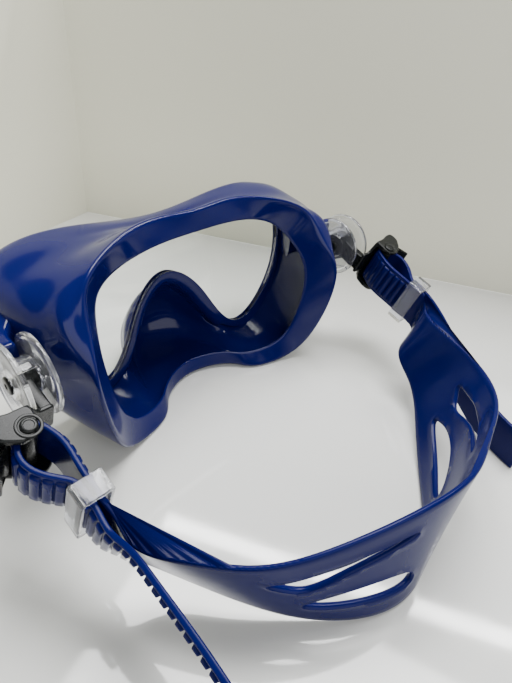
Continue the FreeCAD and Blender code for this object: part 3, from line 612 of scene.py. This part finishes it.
def build_pod(name, side):
    place = about_pod(side)
    low, high = INNER_PLATE_X, INNER_PLATE_X + PLATE_THICK
    inner_profile = [(high, 2.05), (high, 14.9), (high - 0.2, 15.3), (high - 0.6, 15.5), (low + 0.5, 15.5),
                     (low + 0.15, 15.35), (low, 15.0), (low, 13.6), (low + 0.7, 13.0), (low + 0.75, 6.2),
                     (low + 0.1, 5.4), (low, 5.0), (low, 2.05)]
    plate = turned("plate", inner_profile, place, CLEAR, 96)
    stop_profile = [(high - 0.05, 6.0), (high + PLATE_GAP - 0.05, 6.0), (high + PLATE_GAP - 0.05, 7.8),
                    (high - 0.05, 7.8)]
    stop = turned("stop", stop_profile, place, CLEAR, 60, arc=STOP_ARC)
    post_place = about_pod(side, LUG_POST_Y - DRAWN_POD_Y)
    post = turned("post", bevelled_rod(high - 0.1, high + PLATE_GAP + 1.2, 2.4), post_place, CLEAR, 40)
    inner = merge(name + "_pod_inner_shell", [plate, stop, post])
    low, high = OUTER_PLATE_X, OUTER_PLATE_X + PLATE_THICK
    outer_profile = [(low, 2.05), (low, 14.9), (low + 0.2, 15.3), (low + 0.6, 15.5), (high - 0.5, 15.5),
                     (high - 0.15, 15.35), (high, 15.0), (high, 13.4), (high - 0.6, 12.9),
                     (high - 0.75, 9.0), (high - 0.7, 6.0), (high - 0.1, 5.3), (high, 5.0),
                     (high, 2.05)]
    outer = turned(name + "_pod_outer_shell", outer_profile, place, CLEAR, 96)
    pin_profile = [(83.6, 0.02), (83.6, 2.6), (83.8, 3.15), (84.2, 3.4), (84.55, 3.4), (84.58, 2.0),
                   (96.04, 2.0), (96.06, 3.4), (96.45, 3.4), (96.8, 3.15), (97.0, 2.6), (97.0, 1.2),
                   (96.7, 0.9), (96.7, 0.02)]
    pin = turned(name + "_swivel_rivet", pin_profile, place, BLACK, 48, closed=False)
    for piece, node in ((inner, "pod_inner_plate"), (outer, "pod_outer_plate"), (pin, "swivel_pin")):
        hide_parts(name + "_" + node)
        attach(piece, "mask")


# ---------------------------------------------------------------- buckles
AXLE_AT = to_buckle(AXLE)
LEVER_AT = to_buckle(LEVER_PIN)
EAR_LOW, EAR_HIGH = 10.5, 12.9
ARM_LOW_X, ARM_HIGH_X = 87.2, 93.4
WEB_FRONT, WEB_BACK = 15.9, 17.4
THUMB_RIDGES = 3
EAR_FRONT = [(98.9, 15.9), (104.5, 15.9), (108.5, 14.9), (112.6, 14.8), (113.6, 17.5), (113.0, 20.5)]
TOP_EAR = EAR_FRONT + [
    (109.5, 24.3), (105.0, 27.0), (101.3, 26.6), (98.9, 24.6), (97.8, 21.5), (97.7, 17.5),
]
LOW_EAR = EAR_FRONT + [
    (109.5, 24.3), (105.0, 27.6), (101.0, 29.2), (98.0, 29.2), (95.4, 27.6), (94.6, 24.0), (96.0, 18.5),
]
ARM_LEFT_X, ARM_RIGHT_X = 93.7, 89.5


def buckle_pieces(name, side):
    """The buckle's body: the arm, the wall across its end and the two ears."""

    def flat(rows):
        return hang(rows, side)

    def sideways(rows):
        return hang(np.c_[rows[:, 2], rows[:, 0], rows[:, 1]], side)

    def facing(rows):
        return hang(np.c_[rows[:, 0], rows[:, 2], rows[:, 1]], side)

    hub_profile = bevelled_rod(ARM_LOW_X, ARM_HIGH_X, 5.4, 0.5, 2.06)
    pieces = [turned("hub", hub_profile, flat, BLACK, 56)]
    bar = rounded([(2.6, -4.5), (16.7, -4.5), (16.7, 4.5), (2.6, 4.5)], [0.5, 0.3, 0.3, 0.5])
    pieces.append(slab("bar", bar, ARM_RIGHT_X, ARM_LEFT_X, sideways, BLACK, 0.6))
    half = EAR_HIGH - 0.3
    wall_outline = rounded(
        [(ARM_RIGHT_X, -6.4), (95.0, -6.5), (98.2, -half), (108.0, -half),
         (108.0, half), (98.2, half), (95.0, 6.5), (ARM_RIGHT_X, 6.4)],
        [1.5, 3.0, 1.5, 0.6, 0.6, 1.5, 3.0, 1.5])
    pieces.append(slab("web", wall_outline, WEB_FRONT, WEB_BACK, facing, BLACK, 0.45))
    for outline, low, high in ((TOP_EAR, EAR_LOW, EAR_HIGH), (LOW_EAR, -EAR_HIGH, -EAR_LOW)):
        pieces.append(slab("ear", rounded(outline, 2.6), low, high, flat, BLACK, 0.7))
        boss_low, boss_high = (high - 0.4, high + 0.3) if high > 0 else (low - 0.3, low + 0.4)
        ring, bore = circle(4.2, 48, AXLE_AT[:2]), circle(3.1, 48, AXLE_AT[:2])
        pieces.append(slab("boss", ring, boss_low, boss_high, flat, BLACK, 0.3, 4, bore))
    body = merge(name + "_buckle_frame", pieces)
    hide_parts(name + "_buckle_body")
    return body


def build_buckle(name, side):
    body_name = name + "_buckle"
    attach(buckle_pieces(name, side), body_name)

    def level(rows):
        return hang(rows, side)

    def about_axle(rows):
        return level(np.c_[rows[:, 1] + AXLE_AT[0], rows[:, 2] + AXLE_AT[1], rows[:, 0]])

    tube = bevelled_rod(-10.1, 10.1, 2.6, 0.4, 1.32)
    roller = turned(name + "_strap_roller", tube, about_axle, BLACK, 40)
    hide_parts(name + "_roller")
    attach(roller, name + "_roller")
    head = EAR_HIGH + 0.82
    axle_profile = [(-head, 0.02), (-head, 2.2), (-head + 0.2, 2.55), (-head + 0.5, 2.7),
                    (-EAR_HIGH - 0.03, 2.7), (-EAR_HIGH - 0.03, 1.25), (EAR_HIGH + 0.03, 1.25),
                    (EAR_HIGH + 0.03, 2.7), (head - 0.5, 2.7), (head - 0.2, 2.55), (head, 2.2),
                    (head, 1.7), (head - 0.25, 1.5), (head - 0.25, 0.02)]
    axle = turned(name + "_axle_rod", axle_profile, about_axle, BLACK, 48, closed=False)
    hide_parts(name + "_roller_axle")
    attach(axle, body_name)
    x, y = LEVER_AT[:2]
    outline = rounded(
        [(x - 1.8, y - 1.6), (x + 1.8, y - 1.6), (x + 2.4, y + 4.5), (x + 4.4, y + 10.9),
         (x + 3.2, y + 11.5), (x + 0.4, y + 6.4), (x - 2.3, y + 6.0), (x - 1.8, y + 4.6)],
        [1.4, 1.4, 3.0, 0.9, 0.9, 2.0, 0.5, 0.8])
    tab = [slab("blade", outline, -10.0, 10.0, level, BLACK, 0.5)]
    for k in range(THUMB_RIDGES):
        ridge = circle(0.45, 16, (x + 2.9 + 0.5 * k, y + 6.6 + 1.5 * k))
        tab.append(slab("ridge", ridge, -9.0, 9.0, level, BLACK, 0.2))
    lever = merge(name + "_release_tab", tab)
    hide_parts(name + "_release_lever")
    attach(lever, name + "_release_lever")


# ---------------------------------------------------------------- keepers
KEEPER_AT = np.array([96.5, 89.5, 41.6])
KEEPER_LEAN = math.radians(18)
KEEPER_GAP = (8.6, 21.6)
KEEPER_WALL = 1.5
KEEPER_LENGTH = 8.0


def build_keeper(name, side):
    half_x, half_z = KEEPER_GAP[0] / 2 + KEEPER_WALL, KEEPER_GAP[1] / 2 + KEEPER_WALL
    corners = [(-half_x, -half_z), (half_x, -half_z), (half_x, half_z), (-half_x, half_z)]
    outline = rounded(corners, 1.5, 6)
    hole = rounded([(c[0] - math.copysign(KEEPER_WALL, c[0]), c[1] - math.copysign(KEEPER_WALL, c[1]))
                    for c in corners], 0.8, 6)

    def place(rows):
        across, up, along = rows[:, 0], rows[:, 1], rows[:, 2]
        back = along * math.cos(KEEPER_LEAN) + up * math.sin(KEEPER_LEAN)
        high = up * math.cos(KEEPER_LEAN) - along * math.sin(KEEPER_LEAN)
        points = np.c_[KEEPER_AT[0] + across, KEEPER_AT[1] + back, KEEPER_AT[2] + high]
        return to_row(points * (side, 1, 1))

    half = KEEPER_LENGTH / 2
    keeper = slab(name + "_strap_keeper", outline, -half, half, place, CLEAR, 0.4, 4, hole)
    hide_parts(name + "_keeper")
    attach(keeper, name + "_keeper")


# ---------------------------------------------------------------- strap
HALF_BAND = 9.75
HALF_THICK = 1.0
ROLLER_RADIUS = 2.6
WRAP_RADIUS = ROLLER_RADIUS + 0.35 + HALF_THICK
WRAP_STEPS = 7
WRAP_FROM, WRAP_TO = -18.0, -162.0

# The free ends of the strap, from the tip forward to the keeper: the middle, and the degrees
# that its height leans back and outwards.
TAIL = [(100.8, 165.5, 39.0, 8.9, 15.6), (99.1, 151.7, 39.7, 14.5, 16.3), (97.6, 136.8, 40.0, 20.2, 17.0),
        (96.5, 122.0, 40.3, 25.4, 17.4), (96.8, 107.7, 39.6, 27.0, 12.0), (98.2, 101, 38.8, 24.0, 5.0),
        (98.0, 94, 40.2, 19.0, 0.0), (98.1, 87, 42.4, 18.0, 0.0)]
RIGHT_TAIL = [(68.5, 172, 9.9, 0.0, 0.0), (72.5, 162, 10.0, 2.2, 0.0), (77.0, 151, 11.5, 4.5, 0.0),
              (83.5, 138, 16.0, 6.7, 0.0), (89.5, 125, 22.5, 9.0, 0.0), (94.0, 113, 29.5, 11.2, 0.0),
              (97.0, 102, 36.0, 13.5, 0.0), (98.0, 94, 40.0, 15.7, 0.0), (98.1, 87, 42.4, 18.0, 0.0)]

# The two layers of the loop, level: across, and along the arm from the pod.
OUTER_LAYER = [
    (98.5, 44.6), (101.3, 41.0), (105.0, 36.8), (107.2, 32.2), (107.3, 28.2), (106.0, 24.6),
]
INNER_LAYER = [(96.0, 25.2), (94.7, 29.5), (94.4, 34.5), (94.8, 40.0)]
KEEPER_START = (95.0, 87, 42.4)
KEEPER_EXIT = [(95.0, 93, 40.6), (94.2, 98, 37.6)]

# The head band between the keepers: the lower and the upper edge at eleven stations.
BAND = [
    ((86.0, 106.6, 17.4), (93.7, 106.0, 38.9)),
    ((72.7, 125.8, 8.7), (85.0, 121.7, 36.9)),
    ((58.5, 145.2, 2.5), (70.6, 139.6, 38.7)),
    ((42.5, 160.7, 0.6), (49.4, 153.8, 44.6)),
    ((24.8, 168.7, 0.3), (25.3, 163.6, 48.3)),
    ((5.7, 166.6, 0.3), (0.2, 168.4, 48.6)),
    ((-14.0, 156.1, 0.4), (-23.7, 164.6, 46.6)),
    ((-34.2, 142.5, 1.0), (-46.9, 158.5, 44.6)),
    ((-53.7, 128.3, 6.0), (-65.1, 145.9, 43.0)),
    ((-70.0, 112.4, 14.6), (-76.6, 125.9, 43.4)),
    ((-81.4, 99.0, 23.4), (-86.5, 105.3, 45.0)),
]
BAND_STATIONS = 12

RIB_PITCH = 3.75
RIB_HEIGHT = 1.1
LOW_RIBS = 0.4  # the share of their height that the ribs keep beside the buckle's front wall
PLAIN_TIP = 9.0


def leaning(points, start_lean, end_lean):
    """Edges of a band from its middle points, whose height leans back by degrees that change."""
    stations = []
    for i, point in enumerate(points):
        share = i / max(1, len(points) - 1)
        lean = math.radians(start_lean + (end_lean - start_lean) * share)
        reach = np.array([0, math.sin(lean), math.cos(lean)]) * HALF_BAND
        stations.append((np.array(point, float) - reach, np.array(point, float) + reach))
    return stations


def tilted(points):
    """Edges of a band whose height leans back and outwards by its own degrees."""
    stations = []
    for x, y, z, back, outwards in points:
        lean = np.array([math.tan(math.radians(outwards)), math.tan(math.radians(back)), 1])
        reach = unit(lean) * HALF_BAND
        stations.append((np.array([x, y, z]) - reach, np.array([x, y, z]) + reach))
    return stations


def on_buckle(points):
    """Edges of the loop from level points, leaning back as the buckle does."""
    hung = [hang((x, along, 0)) / MM - SHIFT for x, along in points]
    return leaning(hung, math.degrees(DROP), math.degrees(DROP))


def wrap_stations():
    """The half turn round the roller, from the outer layer to the inner layer."""
    level = []
    for i in range(WRAP_STEPS):
        angle = math.radians(WRAP_FROM + (WRAP_TO - WRAP_FROM) * i / (WRAP_STEPS - 1))
        reach = WRAP_RADIUS * np.array([math.cos(angle), math.sin(angle)])
        level.append(AXLE_AT[:2] + reach)
    return on_buckle(level)


def strap_end(tail):
    """One end of the strap on the left side, from its free tip to the head band."""
    lean = math.degrees(KEEPER_LEAN)
    stations = tilted(tail) + on_buckle(OUTER_LAYER) + wrap_stations() + on_buckle(INNER_LAYER)
    return stations + leaning([KEEPER_START], lean, lean) + leaning(KEEPER_EXIT, lean, 8)


def mirrored(stations):
    return [(low * (-1, 1, 1), up * (-1, 1, 1)) for low, up in stations[::-1]]


STRAP = strap_end(TAIL)
FIRST_BAND = len(STRAP) - 1
STRAP += [(np.array(low, float), np.array(up, float)) for low, up in BAND]
LAST_BAND = len(STRAP)
STRAP += mirrored(strap_end(RIGHT_TAIL))
LOWS = np.array([low for low, _ in STRAP])
UPS = np.array([up for _, up in STRAP])
LENGTHS = np.concatenate([[0], np.cumsum(np.linalg.norm(np.diff((LOWS + UPS) / 2, axis=0), axis=1))])
LOW_EDGE, UP_EDGE = spline(LENGTHS, LOWS), spline(LENGTHS, UPS)


def strap_at(lengths):
    """The lower and upper edges of the strap at lengths, and its thickness direction."""
    lengths = np.atleast_1d(lengths)
    low, up = LOW_EDGE(lengths), UP_EDGE(lengths)
    step = 0.05
    ahead = LOW_EDGE(lengths + step) + UP_EDGE(lengths + step)
    behind = LOW_EDGE(lengths - step) + UP_EDGE(lengths - step)
    return low, up, unit(np.cross(ahead - behind, up - low))


def band_length(station):
    """The strap length at a station of the head band: 0 is the left keeper's exit."""
    return float(np.interp(station, range(BAND_STATIONS + 1), LENGTHS[FIRST_BAND : LAST_BAND + 1]))


RIB_SHAPE = [(0.0, 0.0), (0.06, 0.12), (0.13, 0.75), (0.20, 1.0), (0.50, 1.0), (0.80, 1.0), (0.87, 0.75),
             (0.94, 0.12)]


def ribbed_sections(start, end):
    """Lengths from start to end with the ribs' height at each: start is the strap's tip."""
    sections = [(start + d, 0.0) for d in (0.0, 0.12, 0.4, 0.9, 2, 4, 6)]
    first = start + PLAIN_TIP
    for tooth in range(int((end - first) / RIB_PITCH)):
        sections += [(first + (tooth + share) * RIB_PITCH, height) for share, height in RIB_SHAPE]
    while sections[-1][0] < end - 1.5:
        sections.append((sections[-1][0] + 1.5, 0.0))
    return sections + [(end, 0.0)]


WRAP_START = len(OUTER_LAYER) - 1
WRAP_END = WRAP_START + WRAP_STEPS + 1
AT_WRAPS = [(LENGTHS[len(TAIL) + WRAP_START], LENGTHS[len(TAIL) + WRAP_END]),
            (LENGTHS[-len(RIGHT_TAIL) - WRAP_END - 1], LENGTHS[-len(RIGHT_TAIL) - WRAP_START - 1])]
AT_KEEPERS = (LENGTHS[FIRST_BAND - 2], LENGTHS[LAST_BAND + 2])


def rib_share_at(length):
    """The ribs are low round the rollers, and there are none on the head band."""
    if AT_KEEPERS[0] < length < AT_KEEPERS[1]:
        return 0.0
    away = min(max(low - length, length - high, 0.0) for low, high in AT_WRAPS)
    return LOW_RIBS + (1 - LOW_RIBS) * min(1.0, away / 4.0)


def ribbed_end(name, start, end, rib_side):
    """A strap end with its ribs on one side, from its tip at start to end."""
    direction = 1 if end > start else -1
    sections = [(start + direction * d, h) for d, h in ribbed_sections(0.0, abs(end - start))]
    height = 2 * HALF_BAND
    flat_side = [(0.0, 0.5), (0.12, 0.8), (0.4, 0.96), (0.9, 1.0), (5, 1.0), (height / 2, 1.0)]
    flat_side += [(height - v, t) for v, t in flat_side[-2::-1]]
    rib_line = [0.0, 0.12, 0.4, 0.9, 1.7, 1.9, 2.2, 2.6, 6, height / 2]
    rib_line += [height - v for v in rib_line[-2::-1]]
    rib_share = [0, 0, 0, 0, 0, 0.45, 0.85, 1, 1, 1]
    rib_share += rib_share[-2::-1]
    base = [0.5, 0.8, 0.96] + [1.0] * 13 + [0.96, 0.8, 0.5]
    lengths = np.array([s for s, _ in sections])
    low, up, out = strap_at(lengths)
    rings = []
    for i, (length, rib) in enumerate(sections):
        from_tip = abs(length - start)
        thin = math.sqrt(1 - (1 - min(1.0, (from_tip + 0.1) / 0.9)) ** 2)
        rib *= rib_share_at(length)
        lug_share = 0.55 * np.interp(from_tip, [0, 1.0, 6.5, 8.0], [0.6, 1, 1, 0])
        ring = []
        for v, t in flat_side:
            ring.append(low[i] + (up[i] - low[i]) * v / height - out[i] * rib_side * t * HALF_THICK * thin)
        for v, share, t in list(zip(rib_line, rib_share, base))[::-1]:
            rise = t * HALF_THICK + share * RIB_HEIGHT * max(rib, lug_share)
            ring.append(low[i] + (up[i] - low[i]) * v / height + out[i] * rib_side * rise * thin)
        rings.append(ring)
    count = len(rings[0])
    faces = grid_faces(len(rings), count, False, True)
    last = (len(rings) - 1) * count
    faces += [tuple(range(count)), tuple(range(last, last + count))[::-1]]
    return make_object(name, to_row(np.array(rings).reshape(-1, 3)), faces, STRAP_BLUE, 50)


# A slot's outline on the band: how many stations along it, and the share of its height.
SLOTS = [
    [(2.92, 0.675), (3.1, 0.60), (3.37, 0.56), (3.81, 0.655), (4.4, 0.735), (4.95, 0.79), (4.45, 0.80),
     (4.0, 0.775), (3.6, 0.76), (3.2, 0.72)],
    [(3.3, 0.27), (3.8, 0.245), (4.4, 0.235), (4.95, 0.23), (5.05, 0.30), (4.9, 0.38), (4.5, 0.43),
     (4.0, 0.43), (3.6, 0.39), (3.36, 0.33)],
]
EDGE_ROUND = 0.9
EDGE_STEPS = [0.0, 0.08, 0.3, EDGE_ROUND]  # the band's rows of points along an edge
SLOT_CLEAR = 1.7  # the grid of points stays this far from a slot
BEAD_HEIGHT = 0.35  # of the thicker line round each slot
BAND_LAP = 4.0  # how far the head band reaches into the ribbed ends


def band_height(lengths):
    low, up, _ = strap_at(lengths)
    return np.linalg.norm(up - low, axis=1)


def slot_loops():
    """Smooth closed outlines of the four slots as (length, height) on the flat band."""
    loops = []
    for outline in SLOTS:
        for mirror in (False, True):
            points = []
            for station, share in outline:
                length = band_length(BAND_STATIONS - station if mirror else station)
                points.append((length, share * band_height(length)[0]))
            closed = spline(range(len(points)), points, float(len(points)))
            loops.append(closed(np.linspace(0, len(points), 72, endpoint=False)))
    return loops


def distance_to(points, loop):
    """How far points are from a closed outline, and whether they are inside it."""
    ahead = np.roll(loop, -1, axis=0)
    along = ahead - loop
    rel = points[:, None, :] - loop[None, :, :]
    share = np.clip(np.sum(rel * along, axis=2) / np.sum(along * along, axis=1), 0, 1)
    gap = np.linalg.norm(rel - share[..., None] * along, axis=2).min(axis=1)
    crosses = (loop[None, :, 1] > points[:, None, 1]) != (ahead[None, :, 1] > points[:, None, 1])
    steep = np.where(np.abs(along[:, 1]) < 1e-9, 1e-9, along[:, 1])
    at = loop[None, :, 0] + (points[:, None, 1] - loop[None, :, 1]) / steep * along[None, :, 0]
    inside = np.sum(crosses & (points[:, None, 0] < at), axis=1) % 2 == 1
    return gap, inside


def band_mesh(name, start, end):
    """The wide head band with its four slots, rounded along every edge."""
    loops = slot_loops()
    columns = np.linspace(start, end, 132)
    heights = band_height(columns)
    points, edges = [], []
    shares = np.linspace(0, 1, 22)
    for length, height in zip(columns, heights):
        rows = EDGE_STEPS + [EDGE_ROUND + s * (height - 2 * EDGE_ROUND) for s in shares[1:-1]]
        rows += [height - step for step in EDGE_STEPS[::-1]]
        points += [(length, row) for row in rows]
    per_column = len(EDGE_STEPS) * 2 + len(shares) - 2
    points = np.array(points)
    keep = np.ones(len(points), bool)
    for loop in loops:
        gap, inside = distance_to(points, loop)
        keep &= ~inside & (gap > SLOT_CLEAR)
    grid_index = np.arange(len(points)).reshape(len(columns), per_column)
    renumber = np.cumsum(keep) - 1
    for side in (0, per_column - 1):
        line = grid_index[:, side]
        edges += [(int(renumber[a]), int(renumber[b])) for a, b in zip(line, line[1:])]
    for line in (grid_index[0], grid_index[-1]):
        edges += [(int(renumber[a]), int(renumber[b])) for a, b in zip(line, line[1:])]
    points = list(points[keep])
    for loop in loops:
        for step in EDGE_STEPS:
            ring = inset(loop, -step)
            first = len(points)
            points += list(ring)
            edges += [(first + k, first + (k + 1) % len(ring)) for k in range(len(ring))]
    flat, _, faces, *_ = delaunay_2d_cdt([Vector(p) for p in points], edges, [], 0, 1e-4)
    flat = np.array([tuple(p) for p in flat])
    low, up, out = strap_at(flat[:, 0])
    height = np.linalg.norm(up - low, axis=1)
    share = np.clip(flat[:, 1] / height, 0, 1)
    gap = np.minimum(flat[:, 1], height - flat[:, 1])
    slot_gap = np.full(len(flat), 99.0)
    for loop in loops:
        slot_gap = np.minimum(slot_gap, distance_to(flat, loop)[0])
    gap = np.clip(np.minimum(gap, slot_gap), 0, None)
    gap[gap < 2e-3] = 0
    rounding = np.sqrt(np.clip(1 - (1 - np.minimum(gap / EDGE_ROUND, 1)) ** 2, 0, 1))
    bead = BEAD_HEIGHT * np.exp(-(((slot_gap - 1.0) / 0.7) ** 2))
    half = HALF_THICK * rounding + bead * rounding
    middle = low + (up - low) * share[:, None]
    front, back = middle + out * half[:, None], middle - out * half[:, None]
    kept = []
    for face in faces:
        centre = flat[list(face)].mean(axis=0)[None, :]
        if not any(distance_to(centre, loop)[1][0] for loop in loops):
            kept.append(tuple(face))
    count = len(flat)
    sides = [tuple(face) for face in kept] + [tuple(count + i for i in face[::-1]) for face in kept]
    for column in (columns[0], columns[-1]):
        line = np.nonzero(np.abs(flat[:, 0] - column) < 1e-3)[0]
        line = line[np.argsort(flat[line, 1])]
        sides += [(int(a), int(b), int(b) + count, int(a) + count) for a, b in zip(line, line[1:])]
    return make_object(name, to_row(np.concatenate([front, back])), sides, STRAP_BLUE, 50)


def build_strap():
    left_end, right_end = LENGTHS[FIRST_BAND] - BAND_LAP, LENGTHS[LAST_BAND] + BAND_LAP
    left = ribbed_end("left_end", 0.0, left_end + 1.0, -1)
    right = ribbed_end("right_end", LENGTHS[-1], right_end - 1.0, -1)
    band = band_mesh("band", left_end, right_end)
    strap = merge("head_strap", [left, right, band])
    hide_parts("strap")
    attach(strap, "left_buckle")


# ---------------------------------------------------------------- the whole mask
def paint(node, material):
    data = frame["nodes"][node].data
    data.materials.clear()
    data.materials.append(material)


build_skirt()
build_strap()
for side_name, side_sign in SIDES:
    build_pod(side_name, side_sign)
    build_buckle(side_name, side_sign)
    build_keeper(side_name, side_sign)
    paint(side_name + "_lever_pin", STEEL)
    paint(side_name + "_lever_spring", STEEL)
paint("lens", GLASS)
paint("lens_frame", FRAME_BLUE)
add_camera()
add_lights()
add_stage(FLOOR, WALL)
